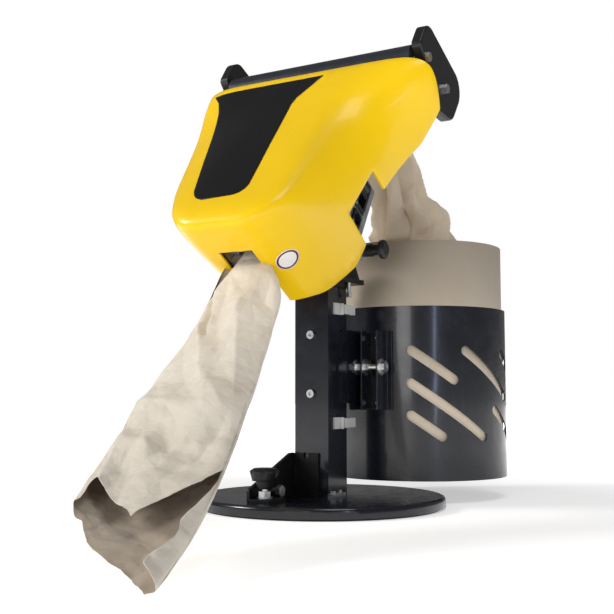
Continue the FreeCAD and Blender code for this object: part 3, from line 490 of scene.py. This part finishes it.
def tube_sheet(shares, places, swell):
    """Points of the tube at shares of the way down, places across it in metres, and a height off
    its middle surface, towards the front."""
    values = smooth_curve(TUBE_ROUTE, shares)
    run = (smooth_curve(TUBE_ROUTE, shares + 0.002)[..., :3]
           - smooth_curve(TUBE_ROUTE, shares - 0.002)[..., :3])
    turn = TUBE_TURN * shares
    across = np.stack([np.cos(turn), np.sin(turn), TUBE_LEAN * shares], axis=-1)
    across /= np.linalg.norm(across, axis=-1)[..., None]
    outward = np.cross(across, run)
    outward /= np.linalg.norm(outward, axis=-1)[..., None]
    return values[..., :3] + across * places[..., None] - outward * swell[..., None]


def torn_end(wide, front):
    """How far down each column of the tube reaches: the torn outline with a ragged edge."""
    draw = random.Random(8)
    rag = np.array([draw.uniform(-1, 1) for _ in wide])
    rag = 0.0008 * rag + 0.0016 * (rag + np.roll(rag, 1) + np.roll(rag, 2) + np.roll(rag, 3))
    rag = rag * np.clip((1 - np.abs(wide)) * 9, 0, 1)
    return np.where(front, along(TORN_FRONT, wide), along(TORN_BACK, wide)) + rag


def creased(across, down, lines):
    """Height of a flat sheet folded sharply along lines: each a row of (across, down) corners, a
    height and how far the paper leans up to it."""
    height = np.zeros_like(across)
    for corners, rise, reach in lines:
        nearest = np.full_like(across, np.inf)
        for (x0, y0), (x1, y1) in zip(corners, corners[1:]):
            run_x, run_y = x1 - x0, y1 - y0
            share = ((across - x0) * run_x + (down - y0) * run_y) / (run_x ** 2 + run_y ** 2)
            share = np.clip(share, 0, 1)
            nearest = np.minimum(nearest, np.hypot(across - x0 - share * run_x,
                                                   down - y0 - share * run_y))
        height += rise * np.clip(1 - nearest / reach, 0, 1)
    return height


def tube_layers(rows, columns):
    """Points and faces of the tube's front and back layer."""
    angle = np.linspace(0, 2 * np.pi, columns, endpoint=False)
    # a pinched oval: sharp folded edges at both sides, both layers bellied
    wide = np.sign(np.cos(angle)) * np.abs(np.cos(angle)) ** 0.8
    deep = np.sign(np.sin(angle)) * np.abs(np.sin(angle)) ** 1.15
    front = np.sin(angle) > 0
    shares = np.linspace(0, 1, rows)[:, None] * torn_end(wide, front)[None, :]
    values = smooth_curve(TUBE_ROUTE, shares)
    half, depth = values[..., 3], values[..., 4]

    # the same places on the flat paper
    fine = np.linspace(0, TUBE_ROUTE[-1][0], 600)
    fine_values = smooth_curve(TUBE_ROUTE, fine)
    steps = np.linalg.norm(np.diff(fine_values[:, :3], axis=0), axis=1)
    run_length = np.concatenate([[0], np.cumsum(steps)])
    flat_x = wide[None, :] * half
    flat_y = np.interp(shares, fine, run_length)

    behind = np.where(front, 0.0, 0.7)[None, :]     # keeps the back layer's creases different
    folds = crumple(flat_x + behind, flat_y, 12,
                    [(0.17, 0.0020, 3), (0.075, 0.0016, 4), (0.034, 0.0010, 5)], hold=0.6)
    lines = [([(place * np.interp(share, fine, fine_values[:, 3]),
                np.interp(share, fine, run_length)) for share, place in corners], rise, reach)
             for corners, rise, reach in TUBE_FOLDS]
    folds = folds + creased(flat_x, flat_y, lines) * front[None, :]
    grip = np.clip(shares * 5, 0.12, 1) * np.abs(np.sin(angle))[None, :] ** 0.9
    sign = np.where(front, 1, -1)[None, :]
    for place, slope, rise, reach in SLOT_FOLDS:
        offset = np.abs(wide[None, :] - place - slope * shares * 4)
        ridge = np.clip(1 - offset / 0.28, 0, 1) * np.clip(1 - shares / reach, 0, 1) ** 0.7
        folds = folds + rise * ridge * sign
    edge_wave = crumple(flat_x, flat_y, 5, [(0.09, 0.0012, 3)]) * np.clip(shares * 3, 0, 1)
    points = tube_sheet(shares, flat_x + edge_wave, deep[None, :] * depth + folds * grip * sign)

    is_open = (front[None, :] & (wide[None, :] > GAP_START)
               & (wide[None, :] < along(OPEN_GAP, shares)))
    faces = grid_faces(rows, columns, True, lambda row, column: not is_open[row, column])
    return points.reshape(-1, 3), faces


def turned_edge(rows, columns):
    """Points and faces of the side edge that is turned over to the front."""
    start, end = TURNED_EDGE[0][0], TURNED_EDGE[-1][0]
    down = np.linspace(start, end, rows)[:, None] * np.ones((1, columns))
    edge = along(TURNED_EDGE, down[:, 0])[:, None]
    inward = np.linspace(0, 1, columns)[None, :]
    places = (1 - (1 - edge) * inward) * smooth_curve(TUBE_ROUTE, down)[..., 3]
    lift = 0.016 * np.sqrt(inward) * np.clip((down - start) * 4, 0, 1)
    lift = lift + crumple(places, down, 3, [(0.05, 0.002, 4)]) * inward
    return tube_sheet(down, places, lift).reshape(-1, 3), grid_faces(rows, columns)


def paper_tube():
    """The flattened, creased tube of paper below the exit slot, with its torn, open end."""
    points, faces = tube_layers(250, 176)
    edge_points, edge_faces = turned_edge(90, 14)
    faces += [tuple(corner + len(points) for corner in face) for face in edge_faces]
    points = np.concatenate([points, edge_points])
    points[:, 2] = np.maximum(points[:, 2], TABLE_GAP)

    tube = mesh_piece("paper_tube", points, faces, materials["crumpled_paper"])
    edit_mesh(tube, drop_loose)
    # the paper's inner face takes the second material, a darker copy of the paper: painted shade
    # inside the tube
    tube.data.materials.append(materials["shaded_inner_paper"])
    thicken(tube, PAPER_THICKNESS).material_offset = 1
    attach(tube, "head")
    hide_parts("paper_strip")


paper_tube()


# ---------------------------------------------------------------- paper column and roll

def in_head(back, level):
    """The y and z of a place in the middle of the head."""
    return (HEAD @ Vector((0, back, level)))[1:]


# share of the way, centre x y z, half-width, half-depth, pleat depth
COLUMN_ROUTE = [(0.00, 0.062, 0.240, 0.385, 0.052, 0.052, 0.0090),
                (0.10, 0.060, 0.240, 0.425, 0.060, 0.052, 0.0140),
                (0.19, 0.059, 0.236, 0.455, 0.062, 0.048, 0.0180),
                (0.27, 0.057, 0.226, 0.484, 0.066, 0.042, 0.0170),
                (0.34, 0.046, 0.214, 0.508, 0.048, 0.034, 0.0160),
                (0.42, 0.044, 0.196, 0.535, 0.044, 0.027, 0.0140),
                (0.55, 0.038, 0.160, 0.585, 0.050, 0.019, 0.0070),
                (0.72, 0.016, *in_head(-0.060, 0.262), 0.085, 0.009, 0.0040),
                (0.80, 0.004, *in_head(-0.090, 0.2735), 0.112, 0.003, 0.0012),
                (0.87, 0.000, *in_head(-0.118, 0.262), 0.112, 0.003, 0.0012),
                (1.00, 0.000, *in_head(-0.126, 0.205), 0.100, 0.004, 0.0020)]
COLUMN_TWIST = 0.25         # turns that the pleats make on the way up
PLEATS = 14
# Shares of the way at which the pleats change, as a new ring of flat facets begins.
FACET_LEVELS = np.array([0.0, 0.08, 0.15, 0.215, 0.26, 0.315, 0.37, 0.44, 0.54, 0.66, 0.8, 1.0])


def faceted_pleats(shares, angle):
    """How far the column stands in or out, from about -1 to 1: flat facets between sharp folds,
    whose corners stand in and out by turns at each level."""
    draw = random.Random(31)
    stand = np.array([[(1 if pleat % 2 else -1) * draw.uniform(0.35, 1.1) + draw.uniform(-0.5, 0.5)
                       for pleat in range(PLEATS)] for _ in FACET_LEVELS])
    level = np.searchsorted(FACET_LEVELS, shares, side="right") - 1
    level = np.clip(level, 0, len(FACET_LEVELS) - 2)
    rise = FACET_LEVELS[level + 1] - FACET_LEVELS[level]
    climb = ((shares - FACET_LEVELS[level]) / rise)[:, None]
    place = (angle[None, :] / (2 * np.pi) + COLUMN_TWIST * shares[:, None]) * PLEATS
    before = np.floor(place).astype(int)
    beyond = place - before
    height = np.zeros_like(place)
    for step, weight in ((0, 1 - climb), (1, climb)):
        row = (level + step)[:, None]
        height += weight * ((1 - beyond) * stand[row, before % PLEATS]
                            + beyond * stand[row, (before + 1) % PLEATS])
    return height


def paper_column():
    """Paper drawn from the roll's core: a pleated, twisted column that opens out over the rear
    roller and goes down between the rollers."""
    rows, columns = 210, 200
    shares = np.linspace(0, 1, rows)
    angle = np.linspace(0, 2 * np.pi, columns, endpoint=False)
    values = smooth_curve(COLUMN_ROUTE, shares)
    centre, half, depth, pleat = values[:, :3], values[:, 3], values[:, 4], values[:, 5]
    across = np.array([1.0, 0.0, 0.0])
    outward = np.cross(across, np.gradient(centre, axis=0))
    outward /= np.linalg.norm(outward, axis=1)[:, None]

    length = np.concatenate([[0], np.cumsum(np.linalg.norm(np.diff(centre, axis=0), axis=1))])
    around = np.tile(angle * 0.06, (rows, 1))       # the angle as a length on a mean radius
    up = np.tile(length[:, None], (1, columns))
    folds = crumple(around, up, 21, [(0.07, 0.0030, 3), (0.03, 0.0010, 4)], hold=0.85)
    grip = np.clip(pleat / 0.012, 0.05, 1)[:, None]
    swell = faceted_pleats(shares, angle) * pleat[:, None] + folds * grip

    wide = half[:, None] * np.cos(angle)[None, :]
    deep = depth[:, None] * np.sin(angle)[None, :]
    radius = np.maximum(np.hypot(wide, deep), 1e-6)
    points = (centre[:, None, :] + across * (wide + swell * wide / radius)[:, :, None]
              + outward[:, None, :] * (deep + swell * deep / radius)[:, :, None])
    # the column takes a darker copy of the paper: painted shade
    column = mesh_piece("paper_column", points.reshape(-1, 3), grid_faces(rows, columns, True),
                        materials["shaded_drawn_paper"])
    thicken(column, PAPER_THICKNESS)
    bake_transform(column)
    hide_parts("paper_feed")


ROLL_CORE = 0.062           # the hole's radius
ROLL_LAYERS = 46            # steps in the end face, each the edge of a few turns of paper
LAYER_GROOVE = 0.0011       # radial width of a layer's flat edge
EDGE_ROUND = 0.0008


def wound_roll():
    """The upright roll: many turns whose edges stand a little proud of each other at the top."""
    low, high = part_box("paper_roll")
    middle = (low + high) / 2
    outer = (high.x - low.x) / 2
    last = outer - 0.0012
    draw = random.Random(4)
    profile = [(ROLL_CORE, low.z)]
    for layer in range(ROLL_LAYERS + 1):
        radius = ROLL_CORE + (last - ROLL_CORE) * layer / ROLL_LAYERS
        level = high.z - (0.0004 + 0.0016 * draw.random())
        profile += [(radius, level), (radius + LAYER_GROOVE, level)]
    profile += [(outer, high.z - EDGE_ROUND), (outer, low.z + EDGE_ROUND), (outer - 0.001, low.z)]
    turns = 168
    points = []
    for radius, level in profile:
        for turn in range(turns):
            angle = 2 * math.pi * turn / turns
            # a slightly uneven winding, and half a millimetre of play inside the CAD roll
            ripple = 0.0004 * math.sin(3 * angle + 1) * min(1, (radius - ROLL_CORE) * 30)
            reach = radius - 0.0005 + ripple
            points.append((middle.x + reach * math.cos(angle), middle.y + reach * math.sin(angle),
                           level))
    # the roll takes a lighter copy of the paper: painted light
    roll = mesh_piece("wound_roll", points, wrap_faces(len(profile), turns),
                      materials["lit_wound_paper"], "stand")
    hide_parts("paper_roll")


paper_column()
wound_roll()


# ---------------------------------------------------------------- floor, lights and camera

FLOOR_REACH = 14.0
WHITE = (1, 1, 1)
# Area lights: place, target, width, height, power, colour.
LIGHTS = {"key": ((-2.3, -1.6, 1.8), (0, -0.1, 0.45), 0.8, 0.8, 50, WHITE),
          "fill": ((0.4, -2.6, 0.6), (0.1, 0.1, 0.35), 0.9, 0.9, 11, WHITE),
          "drum_strip": ((1.60, -1.26, 0.5), (0.1, 0.2, 0.2), 0.14, 0.9, 2.8, (0.62, 0.72, 1.0)),
          "top": ((0.85, -0.6, 2.4), (0.06, 0.1, 0.35), 0.9, 0.9, 13, WHITE)}
CAMERA_PLACE = (0.7937, -1.3859, 0.1757)
CAMERA_TURN, CAMERA_RISE = math.radians(30.6), math.radians(5.0)
FOCAL_LENGTH, SENSOR_WIDTH = 58.66, 36          # millimetres


def white_sweep():
    """A pale floor whose own glow grows away from the part and hides the horizon."""
    mesh = bpy.data.meshes.new("studio_floor")
    reach = FLOOR_REACH
    mesh.from_pydata([(-reach, -reach, 0), (reach, -reach, 0), (reach, reach, 0),
                      (-reach, reach, 0)], [], [(0, 1, 2, 3)])
    skin = Nodes("floor_pale")
    skin.set(Base_Color=(0.86, 0.86, 0.86, 1), Roughness=0.9, Specular_IOR_Level=0.1,
             Emission_Color=(*WHITE, 1))
    distance = skin.add("ShaderNodeVectorMath", operation="LENGTH")
    skin.link(skin.place, distance.inputs[0])
    skin.link(skin.span(distance.outputs["Value"], 0.5, 2.2, 0.5, 1.5),
              skin.shader.inputs["Emission Strength"])
    mesh.materials.append(skin.material)
    floor = bpy.data.objects.new("studio_floor", mesh)
    scene.collection.objects.link(floor)


def white_surroundings():
    """A world that the camera sees as white, and that lights the part only a little."""
    world = bpy.data.worlds.new("studio")
    scene.world = world
    world.use_nodes = True
    tree = world.node_tree
    sky = tree.nodes["Background"]
    sky.inputs["Color"].default_value = (*WHITE, 1)
    rays = tree.nodes.new("ShaderNodeLightPath")
    level = tree.nodes.new("ShaderNodeMapRange")
    level.inputs["To Min"].default_value = 0.16
    level.inputs["To Max"].default_value = 1.0
    tree.links.new(rays.outputs["Is Camera Ray"], level.inputs["Value"])
    tree.links.new(level.outputs["Result"], sky.inputs["Strength"])


def aimed(direction):
    """The rotation of a lamp or camera that looks in a direction, with its top up."""
    return Vector(direction).to_track_quat("-Z", "Y").to_euler()


def area_light(name, place, target, width, height, power, colour):
    lamp = bpy.data.lights.new(name, "AREA")
    lamp.shape = "RECTANGLE"
    lamp.size, lamp.size_y = width, height
    lamp.energy = power
    lamp.color = colour
    obj = bpy.data.objects.new(name, lamp)
    obj.location = place
    obj.rotation_euler = aimed(Vector(target) - Vector(place))
    scene.collection.objects.link(obj)


def studio_camera():
    lens = bpy.data.cameras.new("camera")
    lens.lens = FOCAL_LENGTH
    lens.sensor_width = SENSOR_WIDTH
    camera = bpy.data.objects.new("camera", lens)
    camera.location = CAMERA_PLACE
    camera.rotation_euler = aimed((-math.sin(CAMERA_TURN) * math.cos(CAMERA_RISE),
                                   math.cos(CAMERA_TURN) * math.cos(CAMERA_RISE),
                                   math.sin(CAMERA_RISE)))
    scene.collection.objects.link(camera)
    scene.camera = camera


white_sweep()
white_surroundings()
for name, settings in LIGHTS.items():
    area_light(name, *settings)
studio_camera()
scene.view_settings.view_transform = "Standard"
